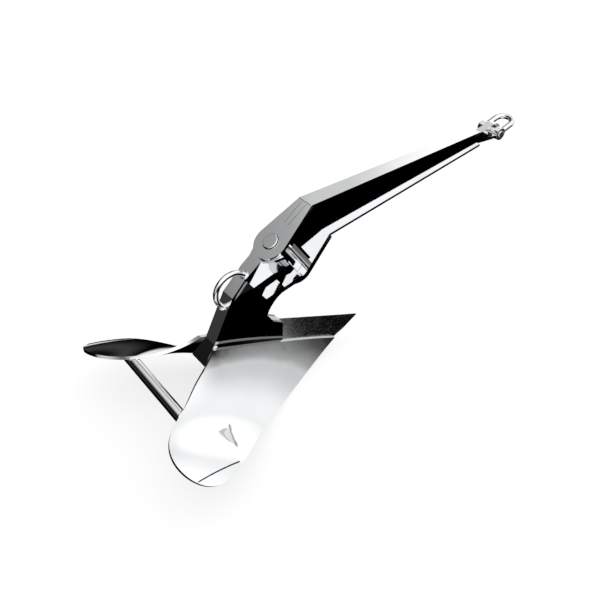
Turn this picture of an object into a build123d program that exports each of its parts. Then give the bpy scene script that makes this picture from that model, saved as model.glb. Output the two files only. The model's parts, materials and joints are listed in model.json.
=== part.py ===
"""Hinged plough anchor: an I-beam shank pinned to a welded twin-blade fluke.

Millimetres. +X points to the toe, +Z up, +Y to the left. The part is symmetric about
Y = 0, apart from the upper hinge plate, which is cut back on the right, and the shackle
pin. It stands on the leading edges of its two blades, with the floor at Z = 0.
"""

import os
from math import cos, radians, sin, tan

from build123d import *

os.makedirs("parts", exist_ok=True)

# Where the two working frames sit: the toe tip, and the top of the hinge.
toe_x = 62.1
toe_z = 44.3
hinge_back = 220.5
hinge_rise = 266.3
pin_lean = 35.6

# Plates
web_thickness = 15.0
cheek_thickness = 6.5
keel_half = web_thickness / 2 + cheek_thickness
blade_thickness = 6.0

# Hinge stack, as heights along the pin below the top of the upper lug
lug_radius = 34.0
upper_lug = (0.0, -6.0)
top_plate = (-6.5, -13.5)
middle_plate = (-30.0, -48.0)
bottom_plate = (-75.0, -85.0)
lower_lug = (-85.5, -96.5)
pin_radius = 11.0
pin_clearance = 0.06
pin_head_radius = 14.5
pin_head_height = 3.2
barrel_radius = 18.0
stop_line = -7.0
stop_half_width = 39.5
box_line = -78.0

# Shank
bend_upper = 91.0
bend_lower = 84.0
shank_drop_upper = 33.8
shank_drop_lower = 27.0
upper_flange_thickness = 6.0
lower_flange_thickness = 5.0
upper_flange_length = 436.0
lower_flange_length = 402.0
flange_half_root = 17.0
flange_half_tip = 11.5
throat_near = 24.0
throat_far = 29.0
throat_half = 24.0

# Shackle
eye_along = 487.0
eye_height = -283.0
eye_radius = 17.0
shackle_pin_radius = 6.5
shackle_clearance = 0.08
shackle_bar = 12.0
shackle_jaw = 26.0
shackle_boss_radius = 12.5
shackle_leg = 34.0
shackle_rise = -18.7
shackle_pin_proud = 1.5
shackle_head = 4.0
shackle_head_radius = 9.5
shackle_head_round = 2.0

# Fluke
brace_back = 462.0
brace_height = 58.0
brace_radius = 11.0
brace_wall = 3.0
brace_half_length = 110.0
cross_slope = 49.3
cross_length = 41.0
cross_thickness = 8.0
cross_half_top = 14.0
cross_half_foot = 20.0
ring_along = -105.0
ring_foot = -21.0
ring_radius = 32.5
ring_bar = 10.0
root_front = (-67.0, -23.0)
root_rear = (-355.0, 108.5)
root_bow = 7.4
blade_front_out = 6.0
lip_middle = (457.5, 190.5)
lip_length = 88.0
lip_turn = -6.5
lip_width = 2.4
lip_depth = 1.2

lean_cos = cos(radians(pin_lean))
lean_sin = sin(radians(pin_lean))
pin_x = toe_x - hinge_back
pin_z = toe_z + hinge_rise


def at_toe(x, z):
    """World (x, z) of a point given from the toe tip."""
    return (toe_x + x, toe_z + z)


def at_hinge(along, height):
    """World (x, z) of a point given along the lugs and along the pin."""
    return (
        pin_x + along * lean_cos - height * lean_sin,
        pin_z + along * lean_sin + height * lean_cos,
    )


def root_height(x):
    """Height above the toe of the blades' slightly bowed top edges."""
    share = (x - root_front[0]) / (root_rear[0] - root_front[0])
    chord = root_front[1] + share * (root_rear[1] - root_front[1])
    return chord + root_bow * (1 - (2 * share - 1) ** 2)


def blade_height(aft, out):
    """Height above the toe of a blade's upper face: a rolled and twisted plate."""
    rise = -58.0 + 1.048 * aft - 0.001315 * aft**2
    fall = -5.0 * out + 0.0215 * out**2 - 2.58e-5 * out**3
    twist = 0.00733 * aft * out - 2.467e-5 * aft * out**2
    return rise + fall + twist


def level(height):
    """Plane square to the hinge pin: local x along the lugs, local z up the pin."""
    return Plane(
        origin=(pin_x - height * lean_sin, 0, pin_z + height * lean_cos),
        x_dir=(lean_cos, 0, lean_sin),
        z_dir=(-lean_sin, 0, lean_cos),
    )


def export(shape, name):
    """Label a finished sub-part and write its STEP file."""
    shape.label = name
    export_step(shape, f"parts/{name}.step")


side = Plane.XZ

# ---------------------------------------------------------------- shank


def flange_side(start, height, drop, length, thickness):
    """Side outline of a sloping flange, cut square to the lug it continues."""
    dx = cos(radians(drop))
    dz = sin(radians(drop))
    end = (start + length * dx, height - length * dz)
    return [
        (start, height),
        end,
        (end[0] - thickness * dz, end[1] - thickness * dx),
        (start, height - thickness / dx),
    ]


def flange_plan(start, height, drop, length):
    """Plane on a flange's upper face, local x along the shank."""
    x0, z0 = at_hinge(start, height)
    angle = radians(pin_lean - drop)
    return Plane(
        origin=(x0, 0, z0),
        x_dir=(cos(angle), 0, sin(angle)),
        z_dir=(-sin(angle), 0, cos(angle)),
    )


upper_side = flange_side(
    bend_upper, upper_lug[0], shank_drop_upper, upper_flange_length, upper_flange_thickness
)
lower_side = flange_side(
    bend_lower, lower_lug[0], shank_drop_lower, lower_flange_length, lower_flange_thickness
)


def tapered_flange(outline, start, height, drop, length):
    """One flange: its side outline across the full width, trimmed to a taper."""
    with BuildPart() as flange:
        with BuildSketch(side):
            with BuildLine():
                Polyline(*[at_hinge(*p) for p in outline], close=True)
            make_face()
        extrude(amount=flange_half_root, both=True)
        with BuildSketch(flange_plan(start, height, drop, length)):
            with BuildLine():
                Polyline(
                    (-20, -flange_half_root),
                    (0, -flange_half_root),
                    (length + 1, -flange_half_tip),
                    (length + 1, flange_half_tip),
                    (0, flange_half_root),
                    (-20, flange_half_root),
                    close=True,
                )
            make_face()
        extrude(amount=25, both=True, mode=Mode.INTERSECT)
    return flange.part


shank_top_flange = tapered_flange(
    upper_side, bend_upper, upper_lug[0], shank_drop_upper, upper_flange_length
)
shank_bottom_flange = tapered_flange(
    lower_side, bend_lower, lower_lug[0], shank_drop_lower, lower_flange_length
)


def lug(span, bend):
    """Flat hinge lug: round about the pin, tapering to the flange width."""
    with BuildPart() as plate:
        with BuildSketch(level(span[1])):
            Circle(lug_radius)
            with Locations((bend - 0.5, 0)):
                Rectangle(1, 2 * flange_half_root)
            make_hull()
            Circle(pin_radius, mode=Mode.SUBTRACT)
        extrude(amount=span[0] - span[1])
    return plate.part


shank_top_lug = lug(upper_lug, bend_upper)

# The thick lower lug ends square to the thinner flange, clear of its flat underside.
lug_step = -lower_lug[1] + lower_side[3][1]
with BuildPart() as shank_bottom_lug:
    add(lug(lower_lug, bend_lower))
    with BuildSketch(side):
        with BuildLine():
            Polyline(
                at_hinge(*lower_side[3]),
                at_hinge(bend_lower - lug_step * tan(radians(shank_drop_lower)), lower_lug[1]),
                at_hinge(bend_lower, lower_lug[1]),
                close=True,
            )
        make_face()
    extrude(amount=flange_half_root, both=True, mode=Mode.SUBTRACT)

with BuildPart() as shank_throat_plate:
    with BuildSketch(level(lower_lug[0])):
        with Locations(((throat_near + throat_far) / 2, 0)):
            Rectangle(throat_far - throat_near, 2 * throat_half)
    extrude(amount=upper_lug[1] - lower_lug[0])

with BuildPart() as shank_web:
    with BuildSketch(side):
        with BuildLine():
            Polyline(
                at_hinge(throat_far, upper_lug[1]),
                at_hinge(bend_upper, upper_lug[1]),
                at_hinge(*upper_side[3]),
                at_hinge(*upper_side[2]),
                at_hinge(*lower_side[1]),
                at_hinge(*lower_side[0]),
                at_hinge(throat_far, lower_lug[0]),
                close=True,
            )
        make_face()
        with BuildSketch(mode=Mode.PRIVATE) as eye_hull:
            with BuildLine():
                Line(at_hinge(*upper_side[2]), at_hinge(*lower_side[1]))
            with Locations(at_hinge(eye_along, eye_height)):
                Circle(eye_radius)
            make_hull()
        add(eye_hull.sketch)
        with Locations(at_hinge(eye_along, eye_height)):
            Circle(shackle_pin_radius + shackle_clearance, mode=Mode.SUBTRACT)
    extrude(amount=web_thickness / 2, both=True)

with BuildPart() as hinge_pin:
    with BuildSketch(level(lower_lug[1])):
        Circle(pin_radius)
    extrude(amount=-lower_lug[1])
    with BuildSketch(level(0)):
        Circle(pin_head_radius)
    extrude(amount=pin_head_height)
    chamfer(hinge_pin.edges().sort_by(Axis((0, 0, 0), level(0).z_dir))[-1], 0.8)

# ---------------------------------------------------------------- fluke


def hinge_plate(span, left_edge, right_edge):
    """One flared plate of the fluke's knuckle, bored for the pin; edges run forward."""
    with BuildPart() as plate:
        with BuildSketch(level(span[1])):
            with BuildLine():
                Polyline(*left_edge, *[(x, -y) for x, y in reversed(right_edge)], close=True)
            make_face()
            Circle(barrel_radius)
            Circle(pin_radius + pin_clearance, mode=Mode.SUBTRACT)
        extrude(amount=span[0] - span[1])
    return plate.part


def knuckle_block(span, plan):
    """Bored block between two hinge plates, from half of its plan."""
    with BuildPart() as block:
        with BuildSketch(level(span[1])):
            with BuildLine():
                Polyline(*plan, *[(x, -y) for x, y in reversed(plan)], close=True)
            make_face()
            Circle(barrel_radius)
            Circle(pin_radius + pin_clearance, mode=Mode.SUBTRACT)
        extrude(amount=span[0] - span[1])
    return block.part


band_bend = -116.0
band_slope = 28.4
band_length = 93.0
band_thickness = 6.0

web_half = web_thickness / 2
stop_corner = (stop_line, stop_half_width)
bottom_edge = [(box_line, keel_half), stop_corner]
middle_edge = [(box_line, keel_half), (-38, 26.5), (-18, stop_half_width), stop_corner]
top_left_edge = [(band_bend, keel_half), (-72, 20), (-64, 22), (-40, 22.5), (-22, 29), stop_corner]
top_right_edge = [(band_bend, keel_half), (-82, 8), (-37, web_half), (-22, 29), stop_corner]

neck_top_plate = hinge_plate(top_plate, top_left_edge, top_right_edge)
neck_middle_plate = hinge_plate(middle_plate, middle_edge, middle_edge)
neck_bottom_plate = hinge_plate(bottom_plate, bottom_edge, bottom_edge)
knuckle_upper_block = knuckle_block(
    (top_plate[1], middle_plate[0]),
    [(box_line, web_half), (-37, web_half), (-37, 4), (-10, 4)],
)
knuckle_lower_block = knuckle_block(
    (middle_plate[1], bottom_plate[0]),
    [(box_line, web_half), (-41, web_half), (-41, 23.5), (stop_line, 23.5)],
)

band_dx = cos(radians(band_slope))
band_dz = sin(radians(band_slope))
band_end = (band_bend - band_length * band_dx, top_plate[0] - band_length * band_dz)
band_foot = (band_end[0] + band_thickness * band_dz, band_end[1] - band_thickness * band_dx)
band_heel = (band_bend, top_plate[0] - band_thickness / band_dx)

with BuildPart() as neck_back_plate:
    with BuildSketch(side):
        with BuildLine():
            Polyline(
                at_hinge(band_bend, top_plate[0]),
                at_hinge(*band_end),
                at_hinge(*band_foot),
                at_hinge(*band_heel),
                close=True,
            )
        make_face()
    extrude(amount=keel_half, both=True)

# Side outline shared by the neck web and its two cheeks, down to the keel.
foot_x, foot_z = at_hinge(*band_foot)
neck_front = [at_hinge(-51, -97), at_toe(-229.5, 137.5), at_toe(-238, 121)]
wedge_back = -203
neck_outline = [
    neck_front[2],
    at_toe(-224, 100),
    at_toe(wedge_back, 87),
    at_toe(wedge_back, root_height(wedge_back) - 16),
    at_toe(-340, root_height(-340) - 24),
    (foot_x, foot_z),
    at_hinge(*band_heel),
    at_hinge(band_bend, top_plate[1]),
    at_hinge(box_line, top_plate[1]),
    at_hinge(box_line, bottom_plate[1]),
    at_hinge(-51, bottom_plate[1]),
    neck_front[0],
]


def neck_layer(near, far):
    """A plate of the neck's side outline between two distances from the middle."""
    with BuildPart() as layer:
        with BuildSketch(side.offset(near)):
            with BuildLine():
                Polyline(*neck_outline)
                ThreePointArc(*neck_front)
            make_face()
        extrude(amount=far - near)
    return layer.part


neck_web = neck_layer(-web_half, web_half)
neck_left_cheek = neck_layer(-keel_half, -web_half)

# The right cheek's upper front corner slopes in to meet the cut-back hinge plate.
hinge_top = level(top_plate[0])
corner_back = hinge_top.from_local_coords((band_bend, -keel_half, 0))
corner_front = hinge_top.from_local_coords((-80, -8, 0))
corner_low = level(middle_plate[0]).from_local_coords((box_line, -keel_half, 0))
slope_normal = (corner_low - corner_back).cross(corner_front - corner_back)
with BuildPart() as neck_right_cheek:
    add(neck_layer(web_half, keel_half))
    split(bisect_by=Plane(origin=corner_back, z_dir=slope_normal), keep=Keep.BOTTOM)

# Toe sections from back to tip: distance, ridge, shoulder and bottom heights, half width.
toe_sections = [
    (wedge_back, 87.0, root_height(wedge_back) + 1, root_height(wedge_back) - 16, keel_half),
    (-66, 28.0, -22.5, -26.0, blade_front_out),
    (-35, 14.8, -14.0, -18.0, 3.2),
    (0, 0.0, -0.6, -1.6, 0.8),
]
with BuildPart() as toe_wedge:
    for x, ridge, shoulder, bottom, half in toe_sections:
        with BuildSketch(Plane.YZ.offset(toe_x + x)):
            with BuildLine():
                Polyline(
                    (0, toe_z + ridge),
                    (half, toe_z + shoulder),
                    (half, toe_z + bottom),
                    (-half, toe_z + bottom),
                    (-half, toe_z + shoulder),
                    close=True,
                )
            make_face()
    loft(ruled=True)

# Blade plan, as distances (aft of the toe, out from the middle).
leading_edge = [(64, blade_front_out), (140, 29), (228, 65), (325, 121), (418, 187)]
lobe = [(460, 204), (488, 203), (511, 187), (521, 160), (513, 128)]
trailing_edge = [(451, 73), (415, 48), (382, 31), (352, keel_half)]

grid_aft = [40 + 25 * i for i in range(21)]
grid_out = [-10 + 15 * i for i in range(17)]
rolled = Face.make_surface_from_array_of_points(
    [
        [Vector(toe_x - a, y, toe_z + blade_height(a, y)) for y in grid_out]
        for a in grid_aft
    ],
    tol=0.05,
    min_deg=3,
    max_deg=5,
)

with BuildPart() as blade_sheet:
    thicken(rolled, amount=-blade_thickness)

# A shallow crease runs straight across the outer corner of each lobe.
with BuildPart() as lip_crease:
    thicken(rolled, amount=lip_depth, both=True)
    with BuildSketch(Plane.XY.offset(-60)):
        with Locations((toe_x - lip_middle[0], lip_middle[1])):
            Rectangle(lip_length, lip_width, rotation=lip_turn)
    extrude(amount=600, mode=Mode.INTERSECT)

with BuildPart() as blade_outline:
    with BuildSketch(Plane.XY.offset(-60)):
        with BuildLine():
            curve = Spline(*[(toe_x - a, y) for a, y in leading_edge + lobe + trailing_edge])
            Polyline(curve @ 1, (toe_x - 352, 0), (toe_x - 64, 0), curve @ 0)
        make_face()
    extrude(amount=600)

# The blade's edges are cut square to the rolled plate; its root is cut level and upright.
with BuildPart() as left_blade:
    thicken((rolled & blade_outline.part).faces()[0], amount=-blade_thickness)
    add(lip_crease.part, mode=Mode.SUBTRACT)
    with BuildSketch(Plane.XY.offset(-60)):
        with BuildLine():
            Polyline(
                curve @ 1,
                (toe_x - 200, keel_half),
                curve @ 0,
                (toe_x - 40, -40),
                (toe_x - 400, -40),
                close=True,
            )
        make_face()
    extrude(amount=600, mode=Mode.SUBTRACT)
    with BuildSketch(side):
        with BuildLine():
            top_edge = ThreePointArc(*[at_toe(x, root_height(x)) for x in (-20, -211, -402)])
            Polyline(top_edge @ 1, at_toe(-402, 300), at_toe(-20, 300), top_edge @ 0)
        make_face()
    extrude(amount=-60, mode=Mode.SUBTRACT)

with BuildPart() as right_blade:
    add(mirror(left_blade.part, about=Plane.XZ))

with BuildPart() as brace_stock:
    with BuildSketch(side):
        with Locations(at_toe(-brace_back, brace_height)):
            Circle(brace_radius)
            Circle(brace_radius - brace_wall, mode=Mode.SUBTRACT)
    extrude(amount=brace_half_length, both=True)
    add(blade_sheet.part, mode=Mode.SUBTRACT)
    add(mirror(blade_sheet.part, about=Plane.XZ), mode=Mode.SUBTRACT)
brace_tube = brace_stock.part.solids().sort_by(SortBy.VOLUME)[-1]

cross_angle = radians(cross_slope)
top_x, top_z = at_hinge(*band_end)
cross_plane = Plane(
    origin=(top_x, 0, top_z),
    x_dir=(0, 1, 0),
    z_dir=(-sin(cross_angle), 0, cos(cross_angle)),
)
with BuildPart() as rear_cross_plate:
    with BuildSketch(cross_plane):
        with BuildLine():
            Polyline(
                (-cross_half_top, 0),
                (cross_half_top, 0),
                (cross_half_foot, cross_length),
                (-cross_half_foot, cross_length),
                close=True,
            )
        make_face()
    extrude(amount=-cross_thickness)

with BuildPart() as tripping_ring:
    with BuildLine():
        left_foot = at_hinge(ring_along - ring_radius, ring_foot)
        left_side = at_hinge(ring_along - ring_radius, top_plate[0])
        crown = at_hinge(ring_along, top_plate[0] + ring_radius)
        right_side = at_hinge(ring_along + ring_radius, top_plate[0])
        leg = Line((left_foot[0], 0, left_foot[1]), (left_side[0], 0, left_side[1]))
        ThreePointArc(
            (left_side[0], 0, left_side[1]),
            (crown[0], 0, crown[1]),
            (right_side[0], 0, right_side[1]),
        )
    with BuildSketch(Plane(origin=leg @ 0, z_dir=leg % 0)):
        Circle(ring_bar / 2)
    sweep()
    add(neck_back_plate.part, mode=Mode.SUBTRACT)

# ---------------------------------------------------------------- shackle

eye_x, eye_z = at_hinge(eye_along, eye_height)
bow_angle = radians(pin_lean + shackle_rise)
bow_plane = Plane(
    origin=(eye_x, 0, eye_z),
    x_dir=(cos(bow_angle), 0, sin(bow_angle)),
    z_dir=(-sin(bow_angle), 0, cos(bow_angle)),
)
leg_offset = shackle_jaw / 2 + shackle_bar / 2
with BuildPart() as shackle_bow:
    with BuildLine(bow_plane):
        near_leg = Line((0, -leg_offset), (shackle_leg, -leg_offset))
        ThreePointArc(
            (shackle_leg, -leg_offset),
            (shackle_leg + leg_offset, 0),
            (shackle_leg, leg_offset),
        )
        Line((shackle_leg, leg_offset), (0, leg_offset))
    with BuildSketch(Plane(origin=near_leg @ 0, z_dir=near_leg % 0)):
        Circle(shackle_bar / 2)
    sweep()
    with BuildSketch(side.offset(shackle_jaw / 2)):
        with Locations((eye_x, eye_z)):
            Circle(shackle_boss_radius)
    extrude(amount=shackle_bar)
    with BuildSketch(side.offset(-shackle_jaw / 2)):
        with Locations((eye_x, eye_z)):
            Circle(shackle_boss_radius)
    extrude(amount=-shackle_bar)
    with BuildSketch(side):
        with Locations((eye_x, eye_z)):
            Circle(shackle_pin_radius)
    extrude(amount=2 * leg_offset, both=True, mode=Mode.SUBTRACT)

jaw_outer = shackle_jaw / 2 + shackle_bar
with BuildPart() as shackle_pin:
    with BuildSketch(side.offset(jaw_outer + shackle_pin_proud)):
        with Locations((eye_x, eye_z)):
            Circle(shackle_pin_radius)
    extrude(amount=-(2 * jaw_outer + shackle_pin_proud))
    with BuildSketch(side.offset(-jaw_outer)):
        with Locations((eye_x, eye_z)):
            Circle(shackle_head_radius)
    extrude(amount=-shackle_head)
    fillet(shackle_pin.edges().sort_by(Axis.Y)[-1], shackle_head_round)

# ---------------------------------------------------------------- files

export(shank_top_flange, "shank_top_flange")
export(shank_bottom_flange, "shank_bottom_flange")
export(shank_web.part, "shank_web")
export(shank_throat_plate.part, "shank_throat_plate")
export(shank_top_lug, "shank_top_lug")
export(shank_bottom_lug.part, "shank_bottom_lug")
export(hinge_pin.part, "hinge_pin")
export(neck_top_plate, "neck_top_plate")
export(neck_middle_plate, "neck_middle_plate")
export(neck_bottom_plate, "neck_bottom_plate")
export(neck_back_plate.part, "neck_back_plate")
export(neck_web, "neck_web")
export(neck_left_cheek, "neck_left_cheek")
export(neck_right_cheek.part, "neck_right_cheek")
export(knuckle_upper_block, "knuckle_upper_block")
export(knuckle_lower_block, "knuckle_lower_block")
export(toe_wedge.part, "toe_wedge")
export(left_blade.part, "left_blade")
export(right_blade.part, "right_blade")
export(brace_tube, "brace_tube")
export(rear_cross_plate.part, "rear_cross_plate")
export(tripping_ring.part, "tripping_ring")
export(shackle_bow.part, "shackle_bow")
export(shackle_pin.part, "shackle_pin")
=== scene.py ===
"""Looks for the hinged plough anchor: mirror-polished stainless steel in a plain studio."""

import json
from math import cos, pi, radians, sin

import bmesh
import bpy
from mathutils import Matrix, Vector
from mathutils.bvhtree import BVHTree


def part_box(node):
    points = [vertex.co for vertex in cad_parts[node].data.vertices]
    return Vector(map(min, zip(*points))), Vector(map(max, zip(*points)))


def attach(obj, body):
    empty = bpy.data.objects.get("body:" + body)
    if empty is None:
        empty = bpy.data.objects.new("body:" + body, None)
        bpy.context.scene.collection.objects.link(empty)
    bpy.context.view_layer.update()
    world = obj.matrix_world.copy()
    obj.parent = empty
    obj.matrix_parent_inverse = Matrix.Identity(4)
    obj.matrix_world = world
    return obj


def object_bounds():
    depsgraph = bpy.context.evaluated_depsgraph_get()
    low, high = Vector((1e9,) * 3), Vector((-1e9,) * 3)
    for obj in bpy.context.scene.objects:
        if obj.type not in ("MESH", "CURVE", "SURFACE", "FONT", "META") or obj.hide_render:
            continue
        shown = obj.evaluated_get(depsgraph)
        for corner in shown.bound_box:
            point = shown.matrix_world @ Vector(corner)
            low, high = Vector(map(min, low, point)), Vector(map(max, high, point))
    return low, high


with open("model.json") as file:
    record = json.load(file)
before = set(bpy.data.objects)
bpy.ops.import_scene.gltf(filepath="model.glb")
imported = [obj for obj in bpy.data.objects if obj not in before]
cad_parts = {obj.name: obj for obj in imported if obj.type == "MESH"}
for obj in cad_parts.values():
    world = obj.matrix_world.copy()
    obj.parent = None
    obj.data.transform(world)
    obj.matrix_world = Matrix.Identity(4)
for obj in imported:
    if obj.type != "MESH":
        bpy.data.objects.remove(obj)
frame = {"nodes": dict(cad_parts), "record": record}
cad_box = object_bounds()
record = frame["record"]

upwards = Vector((0, 0, 1))
leftwards = Vector((0, 1, 0))

# ---------------------------------------------------------------- camera

camera_place = Vector((-0.7457, -0.8036, 0.9723))
camera_heading = -39.21      # degrees from +Y, turning towards -X
camera_pitch = 51.64         # degrees up from straight down
camera_roll = 1.67
lens = 42                    # millimetres, for the sensor width below
sensor_width = 36


def make_camera():
    """A camera off the anchor's right rear quarter, looking down along the shank."""
    data = bpy.data.cameras.new("camera")
    data.sensor_width = sensor_width
    data.lens = lens
    camera = bpy.data.objects.new("camera", data)
    bpy.context.scene.collection.objects.link(camera)
    camera.matrix_world = (
        Matrix.Translation(camera_place)
        @ Matrix.Rotation(radians(camera_heading), 4, "Z")
        @ Matrix.Rotation(radians(camera_pitch), 4, "X")
        @ Matrix.Rotation(radians(camera_roll), 4, "Z")
    )
    bpy.context.scene.camera = camera


# ---------------------------------------------------------------- studio

# The sky by height: height of the direction (-1 straight down, 1 straight up), brightness.
sky_stops = [
    (-0.30, 0.0), (-0.08, 0.045), (0.10, 0.004), (0.45, 0.02), (0.56, 0.15),
    (0.61, 0.33), (0.66, 0.41), (0.72, 0.72), (0.80, 0.92),
]

# Soft panels, each laid over those before it: bearing from +X towards +Y, elevation,
# angle out to which it is full, angle at which it has faded, brightness.
panels = [
    (0, 20, 49, 56, 0.42),
    (0, 20, 47, 50, 0.68),
    (0, 20, 12, 47, 1.05),
    (22, 26, 14, 24, 1.25),
    (70, -28, 4, 12, 0.9),
    (10, -52, 15, 22, 1.1),
    (-130, -42, 20, 32, 1.05),
    (-168, 12, 18, 34, 0.7),
    (-100, 58, 40, 62, 1.3),
]

backdrop_brightness = 0.94   # what the camera sees past the floor
floor_size = 12              # metres
floor_gray = 0.12
floor_roughness = 0.9
floor_glow = 0.78            # keeps the floor pale under faint shadows
sun_strength = 3.0
sun_width = 110              # degrees, so wide that every shadow is soft


def direction(bearing, elevation):
    """The unit vector at a bearing from +X towards +Y and an elevation, in degrees."""
    level = cos(radians(elevation))
    return (
        level * cos(radians(bearing)),
        level * sin(radians(bearing)),
        sin(radians(elevation)),
    )


def sky_brightness(nodes, links):
    """The world's brightness by direction: a graded sky with soft panels laid over it."""
    where = nodes.new("ShaderNodeTexCoord").outputs["Generated"]
    split = nodes.new("ShaderNodeSeparateXYZ")
    links.new(where, split.inputs[0])
    share = nodes.new("ShaderNodeMapRange")
    share.inputs["From Min"].default_value = -1
    links.new(split.outputs["Z"], share.inputs["Value"])
    ramp = nodes.new("ShaderNodeValToRGB")
    ramp.color_ramp.interpolation = "EASE"
    while len(ramp.color_ramp.elements) < len(sky_stops):
        ramp.color_ramp.elements.new(0.5)
    for element, (height, value) in zip(ramp.color_ramp.elements, sky_stops):
        element.position = (height + 1) / 2
        element.color = (value, value, value, 1)
    links.new(share.outputs[0], ramp.inputs[0])
    value = ramp.outputs[0]
    for bearing, elevation, full, faded, brightness in panels:
        dot = nodes.new("ShaderNodeVectorMath")
        dot.operation = "DOT_PRODUCT"
        dot.inputs[1].default_value = direction(bearing, elevation)
        links.new(where, dot.inputs[0])
        fade = nodes.new("ShaderNodeMapRange")
        fade.interpolation_type = "SMOOTHSTEP"
        fade.inputs["From Min"].default_value = cos(radians(faded))
        fade.inputs["From Max"].default_value = cos(radians(full))
        links.new(dot.outputs["Value"], fade.inputs["Value"])
        mix = nodes.new("ShaderNodeMix")
        mix.inputs["B"].default_value = brightness
        links.new(fade.outputs["Result"], mix.inputs["Factor"])
        links.new(value, mix.inputs["A"])
        value = mix.outputs["Result"]
    return value


def make_world():
    """The sky with its panels for reflections, and a plain backdrop for the camera."""
    world = bpy.data.worlds.new("studio")
    bpy.context.scene.world = world
    world.use_nodes = True
    nodes, links = world.node_tree.nodes, world.node_tree.links
    seen = nodes.new("ShaderNodeLightPath")
    backdrop = nodes.new("ShaderNodeMix")
    backdrop.inputs["B"].default_value = backdrop_brightness
    links.new(seen.outputs["Is Camera Ray"], backdrop.inputs["Factor"])
    links.new(sky_brightness(nodes, links), backdrop.inputs["A"])
    links.new(backdrop.outputs["Result"], nodes["Background"].inputs[0])


def make_floor():
    """A pale floor under the anchor, which the steel doesn't reflect."""
    bpy.ops.mesh.primitive_plane_add(size=floor_size, location=(0, 0, cad_box[0].z))
    floor = bpy.context.object
    floor.name = "floor"
    floor.visible_glossy = False
    material = bpy.data.materials.new("floor")
    material.use_nodes = True
    shader = material.node_tree.nodes["Principled BSDF"]
    shader.inputs["Base Color"].default_value = (floor_gray, floor_gray, floor_gray, 1)
    shader.inputs["Roughness"].default_value = floor_roughness
    shader.inputs["Emission Color"].default_value = (1, 1, 1, 1)
    shader.inputs["Emission Strength"].default_value = floor_glow
    floor.data.materials.append(material)


def make_sun():
    """A very wide soft light from straight above, which the steel doesn't reflect."""
    sun = bpy.data.lights.new("sun", "SUN")
    sun.energy = sun_strength
    sun.angle = radians(sun_width)
    lamp = bpy.data.objects.new("sun", sun)
    lamp.visible_glossy = False
    bpy.context.scene.collection.objects.link(lamp)


def make_studio():
    """The world, the floor and the light, seen without any film look."""
    bpy.context.scene.view_settings.view_transform = "Standard"
    make_world()
    make_floor()
    make_sun()


# ---------------------------------------------------------------- materials

# Finish of each slot: base roughness, scratch depth, waviness, tint, and for the round
# pieces how far their edges are rounded, in metres. The neck's outer plates have the
# "cheek" entry in place of their slot's own, whose dark tint is a painted reflection of
# dark surroundings.
finishes = {
    "flange": (0.035, 0.10, 0.30, (0.86, 0.87, 0.88)),
    "web": (0.050, 0.12, 0.35, (0.84, 0.85, 0.86)),
    "plate": (0.060, 0.14, 0.30, (0.84, 0.85, 0.86)),
    "lug": (0.045, 0.12, 0.20, (0.85, 0.86, 0.87)),
    "pin": (0.080, 0.16, 0.15, (0.80, 0.81, 0.82), 0.0008),
    "neck": (0.050, 0.12, 0.35, (0.84, 0.85, 0.86)),
    # Painted reflection: this dark tint stands in for the dark surroundings the cheeks mirror.
    "cheek": (0.050, 0.12, 0.35, (0.24, 0.24, 0.25)),
    "toe": (0.200, 0.10, 0.20, (0.62, 0.63, 0.64)),
    "blade": (0.035, 0.10, 0.35, (0.86, 0.87, 0.88)),
    "tube": (0.060, 0.12, 0.20, (0.85, 0.86, 0.87), 0.0008),
    "ring": (0.060, 0.10, 0.15, (0.85, 0.86, 0.87), 0.0008),
    "shackle": (0.045, 0.10, 0.20, (0.83, 0.84, 0.85), 0.0008),
}
# Dark steel for thin lines: the faint lines on the lug, and painted shade in the lobes' creases
# and round the foot of the pin's head.
line_and_painted_shade_finish = (0.35, 0.3, 0.3, (0.03, 0.03, 0.032))

# The noises that all finishes share: stretch along the axes, scale, detail.
smear_noise = ((1, 1, 1), 9, 5)
buffing_noise = ((14, 320, 320), 3, 6)
wave_noise = ((1, 1, 1), 14, 1.5)

smear_tint = 0.95            # the darkest steel's colour as a share of its tint
smear_range = (0.35, 0.6)    # the noise over which the colour turns to the full tint
dull_range = (0.5, 0.75)     # and over which the steel gets duller
buffing_range = (0.3, 0.8)   # the noise over which the roughness goes from least to most
wave_height = 0.004          # metres, for a bump of full strength
wave_strength = 0.12         # of the finish's waviness
buffing_height = 0.0002      # metres, for a bump of full strength
buffing_strength = 0.3       # of the finish's scratch depth
buffing_roughness = (0.7, 1.7)   # least and most, as shares of the base roughness


def noise(nodes, links, where, stretch, scale, detail):
    """A noise texture on object coordinates, stretched along the axes."""
    mapping = nodes.new("ShaderNodeMapping")
    mapping.inputs["Scale"].default_value = stretch
    links.new(where, mapping.inputs["Vector"])
    texture = nodes.new("ShaderNodeTexNoise")
    texture.inputs["Scale"].default_value = scale
    texture.inputs["Detail"].default_value = detail
    links.new(mapping.outputs[0], texture.inputs["Vector"])
    return texture.outputs["Fac"]


def ranged(nodes, links, value, taken, given=(0, 1)):
    """A value stretched from the range taken to the range given, and clamped."""
    remap = nodes.new("ShaderNodeMapRange")
    remap.inputs["From Min"].default_value, remap.inputs["From Max"].default_value = taken
    remap.inputs["To Min"].default_value, remap.inputs["To Max"].default_value = given
    links.new(value, remap.inputs["Value"])
    return remap.outputs["Result"]


def rounded(nodes, radius):
    """Normals that turn softly over the edges, as a buffing wheel leaves them."""
    node = nodes.new("ShaderNodeBevel")
    node.samples = 4
    node.inputs["Radius"].default_value = radius
    return node.outputs["Normal"]


def bump(nodes, links, height, distance, strength, under):
    """A bump node, over another normal where there is one."""
    node = nodes.new("ShaderNodeBump")
    node.inputs["Strength"].default_value = strength
    node.inputs["Distance"].default_value = distance
    links.new(height, node.inputs["Height"])
    if under:
        links.new(under, node.inputs["Normal"])
    return node.outputs["Normal"]


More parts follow.
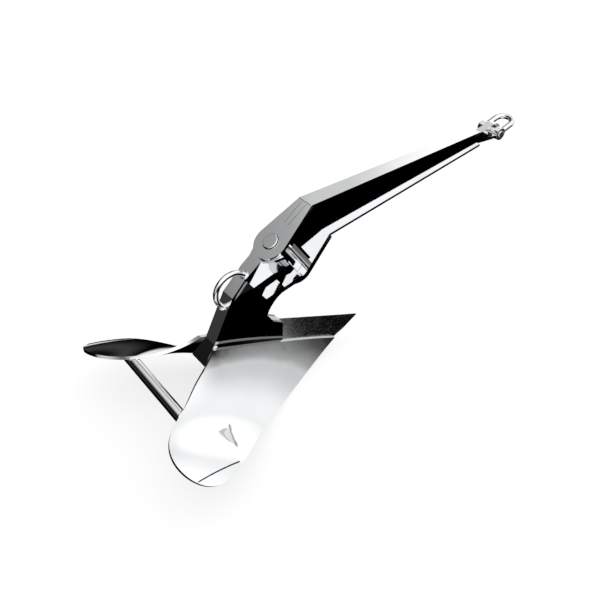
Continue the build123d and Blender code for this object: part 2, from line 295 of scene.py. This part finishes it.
def polished_steel(name, roughness, scratches, waviness, tint, rounding=0):
    """Stainless steel polished by hand: waves, buffing lines and a few dull smears."""
    material = bpy.data.materials.new(name)
    material.use_nodes = True
    nodes, links = material.node_tree.nodes, material.node_tree.links
    shader = nodes["Principled BSDF"]
    shader.inputs["Metallic"].default_value = 1
    where = nodes.new("ShaderNodeTexCoord").outputs["Object"]

    smears = noise(nodes, links, where, *smear_noise)
    mix = nodes.new("ShaderNodeMix")
    mix.data_type = "RGBA"
    mix.inputs["A"].default_value = (*[c * smear_tint for c in tint], 1)
    mix.inputs["B"].default_value = (*tint, 1)
    links.new(ranged(nodes, links, smears, smear_range), mix.inputs["Factor"])
    links.new(mix.outputs["Result"], shader.inputs["Base Color"])

    lines = noise(nodes, links, where, *buffing_noise)
    least, most = [roughness * share for share in buffing_roughness]
    dulled = nodes.new("ShaderNodeMath")
    dulled.operation = "MULTIPLY_ADD"
    links.new(ranged(nodes, links, smears, dull_range), dulled.inputs[0])
    dulled.inputs[1].default_value = roughness
    links.new(ranged(nodes, links, lines, buffing_range, (least, most)), dulled.inputs[2])
    links.new(dulled.outputs[0], shader.inputs["Roughness"])

    waves = noise(nodes, links, where, *wave_noise)
    edges = rounded(nodes, rounding) if rounding else None
    wavy = bump(nodes, links, waves, wave_height, waviness * wave_strength, edges)
    lined = bump(nodes, links, lines, buffing_height, scratches * buffing_strength, wavy)
    links.new(lined, shader.inputs["Normal"])
    return material


# ---------------------------------------------------------------- frame of the hinge

swing = next(j for j in record["behaviour"]["joints"] if j["name"] == "shank_swing")
pin_top = Vector(swing["pos_m"])       # on the pin's axis, level with the upper lug's top
pin_up = Vector(swing["axis"]).normalized()
pin_along = leftwards.cross(pin_up)


def at_hinge(along, out, height):
    """A point given in millimetres along the lugs, to the left and up the pin."""
    return pin_top + (pin_along * along + leftwards * out + pin_up * height) / 1000


def surface(node):
    """The node's mesh as a tree for casting rays at."""
    mesh = bmesh.new()
    mesh.from_mesh(frame["nodes"][node].data)
    tree = BVHTree.FromBMesh(mesh)
    mesh.free()
    return tree


def line(start, end, steps):
    """Evenly spaced points from start to end."""
    return [start.lerp(end, i / steps) for i in range(steps + 1)]


def full_turn(steps):
    """Evenly spaced angles round a circle."""
    return [2 * pi * k / steps for k in range(steps)]


def between(start, end, share):
    """The number a share of the way from start to end."""
    return start + share * (end - start)


# ---------------------------------------------------------------- welds, lines and painted crease shade

bead_sides = 10
end_size = 0.35              # the size of an open bead's end ring, as a share of the rest
end_growth = 0.4             # how much of its size it gains at each ring from there
ripple_pitch = 1.9           # radians of ripple from one ring to the next
drift, drift_pitch = 0.05, 0.7   # a slower change in size, as a hand-laid bead has

bend_along = 91              # the upper flange's bend, in millimetres along from the pin
lug_line_ends = (88, 38)     # the lines on the upper lug, along from the pin
lug_line_out = 6.5           # and out from the middle at the bend
lug_line_narrowing = 0.8     # their distance out at the far end, as a share of that

ring_feet = {"front": -72.5, "back": -137.5}   # the ring's bar, along from the pin
neck_top = -6.5              # the upper hinge plate's top, below the upper lug's top
neck_bend = -116             # where the neck starts to slope down
neck_slope = 0.541
foot_radius = 5.9
foot_lift = 0.3

tube_clearance = 0.0004      # metres between the tube's side and the line of its weld
inside_blades = 0.02         # a distance from the middle to cast rays outwards from

# Painted shade line in the crease across a lobe, at its two ends: metres behind the toe, metres
# from the middle.
crease_start = (0.5030, 0.1960)
crease_end = (0.4190, 0.1860)
crease_lift = 0.0002
above_blades = 0.6           # a height to cast rays down from

# Painted shade round the foot of the pin's head: radius and lift, in millimetres.
pin_crease_radius = 14.9
pin_crease_lift = 0.2


def bead(
    name, body, path, material,
    half_width, closed=False, ripple=0.12, flat=1.0, up=pin_up,
):
    """A bead laid along a path: a rounded ridge with the ripples of a weld."""
    mesh = bmesh.new()
    rings = []
    count = len(path)
    for i, point in enumerate(path):
        before = path[(i - 1) % count if closed else max(i - 1, 0)]
        after = path[(i + 1) % count if closed else min(i + 1, count - 1)]
        heading = (after - before).normalized()
        lift = up - heading * heading.dot(up)
        lift = lift.normalized() if lift.length > 1e-4 else heading.orthogonal().normalized()
        sideways = heading.cross(lift)
        from_end = min(i, count - 1 - i)
        taper = 1.0 if closed else min(1.0, end_size + end_growth * from_end)
        rippled = 1 + ripple * sin(i * ripple_pitch) + drift * sin(i * drift_pitch + 1)
        size = half_width * taper * rippled
        rings.append([
            mesh.verts.new(point + sideways * cos(angle) * size + lift * sin(angle) * size * flat)
            for angle in full_turn(bead_sides)
        ])
    for i in range(count if closed else count - 1):
        one, two = rings[i], rings[(i + 1) % count]
        for k in range(bead_sides):
            following = (k + 1) % bead_sides
            mesh.faces.new((one[k], one[following], two[following], two[k]))
    if not closed:
        mesh.faces.new(rings[0])
        mesh.faces.new(reversed(rings[-1]))
    bmesh.ops.recalc_face_normals(mesh, faces=mesh.faces)
    data = bpy.data.meshes.new(name)
    mesh.to_mesh(data)
    mesh.free()
    for face in data.polygons:
        face.use_smooth = True
    data.materials.append(material)
    piece = bpy.data.objects.new(name, data)
    bpy.context.scene.collection.objects.link(piece)
    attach(piece, body)


def shank_welds(steel, line_and_painted_shade):
    """The weld across the shank's bend, and the two faint lines it leaves on the lug."""
    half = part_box("shank_top_flange")[1].y * 1000
    across = line(at_hinge(bend_along, -half, 0), at_hinge(bend_along, half, 0), steps=46)
    bead("bend_weld", "shank", across, steel["flange"], half_width=0.0011, flat=0.45)
    near, far = lug_line_ends
    for side, out in (("left", lug_line_out), ("right", -lug_line_out)):
        far_out = out * lug_line_narrowing
        path = line(at_hinge(near, out, 0), at_hinge(far, far_out, 0), steps=30)
        bead("lug_line_" + side, "shank", path, line_and_painted_shade, half_width=0.00035, ripple=0.5, flat=0.3)


def ring_welds(steel):
    """Fillets round both feet of the tripping ring."""
    for name, along in ring_feet.items():
        past_bend = max(0, neck_bend - along)
        slope = neck_slope if past_bend else 0
        height = neck_top - past_bend * neck_slope + foot_lift
        path = []
        for angle in full_turn(40):
            step = foot_radius * cos(angle)
            # On the slope this falls where the plate rises, so the back fillet tilts off it.
            path.append(at_hinge(along + step, foot_radius * sin(angle), height - slope * step))
        bead("ring_weld_" + name, "fluke", path, steel["ring"],
             half_width=0.0017, closed=True, flat=0.8)


def brace_welds(steel):
    """Fillets where the brace tube's ends meet the blades' undersides."""
    low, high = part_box("brace_tube")
    middle = (low + high) / 2
    reach = (high.z - low.z) / 2 + tube_clearance
    for side, way in (("left", 1), ("right", -1)):
        blade = surface(side + "_blade")
        path = []
        for angle in full_turn(56):
            inside = Vector((
                middle.x + reach * cos(angle), way * inside_blades, middle.z + reach * sin(angle),
            ))
            path.append(blade.ray_cast(inside, leftwards * way)[0])
        if all(path):
            bead("brace_weld_" + side, "fluke", path, steel["tube"],
                 half_width=0.0019, closed=True, up=leftwards)


def blade_crease_painted_shade(line_and_painted_shade):
    """Painted shade: a dark line along the bottom of the crease that crosses each lobe, where its
    shade falls.
    """
    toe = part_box("toe_wedge")[1].x
    steps = 59
    for side, way in (("left", 1), ("right", -1)):
        blade = surface(side + "_blade")
        path = []
        for i in range(steps + 1):
            aft, out = [between(*ends, i / steps) for ends in zip(crease_start, crease_end)]
            above = Vector((toe - aft, way * out, above_blades))
            hit = blade.ray_cast(above, -upwards)[0]
            if hit:
                path.append(hit + upwards * crease_lift)
        bead("lobe_crease_painted_shade_" + side, "fluke", path, line_and_painted_shade,
             half_width=0.0013, ripple=0.1, flat=0.5, up=upwards)


def pin_foot_painted_shade(line_and_painted_shade):
    """Painted shade: a dark ring round the foot of the pin's head, where its shade falls."""
    path = [
        at_hinge(pin_crease_radius * cos(angle), pin_crease_radius * sin(angle), pin_crease_lift)
        for angle in full_turn(72)
    ]
    bead("pin_foot_painted_shade", "shank", path, line_and_painted_shade,
         half_width=0.0006, closed=True, ripple=0.05, flat=0.6)


make_camera()
make_studio()
steel = {slot: polished_steel("steel_" + slot, *finish) for slot, finish in finishes.items()}
line_and_painted_shade = polished_steel("dark_line_and_painted_shade", *line_and_painted_shade_finish)
# The neck's outer plates take the "cheek" tint, a painted dark reflection.
for row in record["subparts"]:
    finish = "cheek" if row["node"].endswith("_cheek") else row["material_slot"]
    for slot in frame["nodes"][row["node"]].material_slots:
        slot.material = steel[finish]
shank_welds(steel, line_and_painted_shade)
ring_welds(steel)
brace_welds(steel)
blade_crease_painted_shade(line_and_painted_shade)
pin_foot_painted_shade(line_and_painted_shade)
